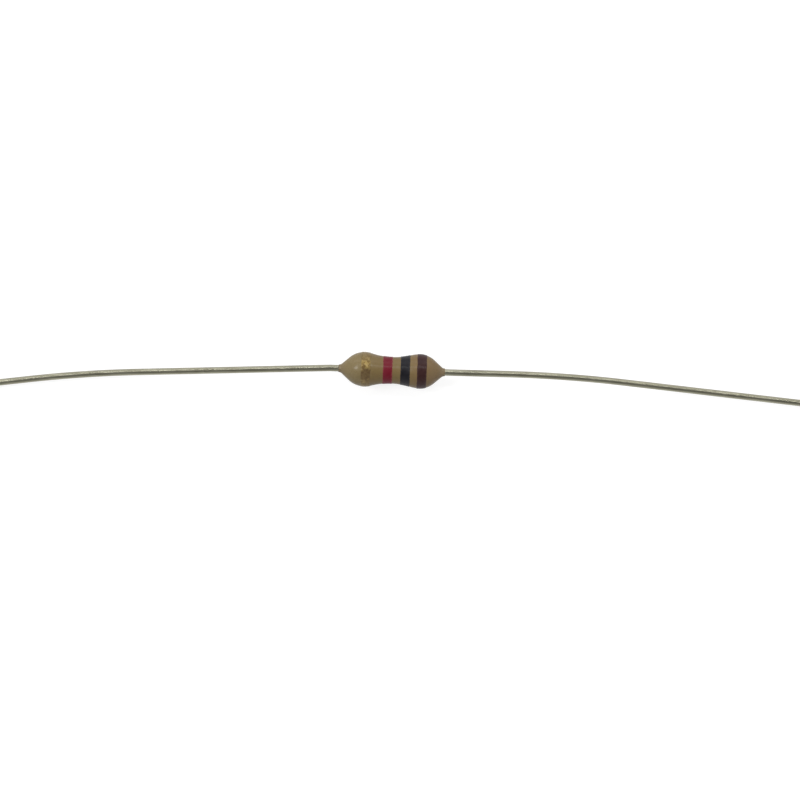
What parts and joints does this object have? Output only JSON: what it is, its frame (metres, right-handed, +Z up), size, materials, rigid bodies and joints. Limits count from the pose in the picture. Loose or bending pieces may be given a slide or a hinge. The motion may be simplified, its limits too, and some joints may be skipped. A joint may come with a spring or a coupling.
{
  "type": "axial resistor",
  "caption": "Through-hole resistor: ceramic rod, trimmed carbon film and pressed end caps inside a dog-bone lacquer coat with colour bands, on long bowed wire leads.",
  "frame": {"origin": "on the surface that the resistor lies on, straight under the middle of its body", "axes": "+X along the body's axis towards the brown band, -Y the way the leads bow, +Z up from the surface"},
  "size_m": [0.0631, 0.004, 0.0024],
  "materials": {
    "white_ceramic": "matte",
    "carbon_film": "satin",
    "cap_steel": "satin",
    "tinned_wire": "satin",
    "tan_lacquer": "satin",
    "gold_paint": "satin",
    "red_paint": "satin",
    "black_paint": "satin",
    "brown_paint": "satin"
  },
  "bodies": {
    "root": {"ceramic_core": "white_ceramic", "resistive_film": "carbon_film", "left_end_cap": "cap_steel", "right_end_cap": "cap_steel", "left_lead": "tinned_wire", "right_lead": "tinned_wire", "lacquer_coat": "tan_lacquer", "gold_band": "gold_paint", "red_band": "red_paint", "black_band": "black_paint", "brown_band": "brown_paint"}
  },
  "joints": []
}
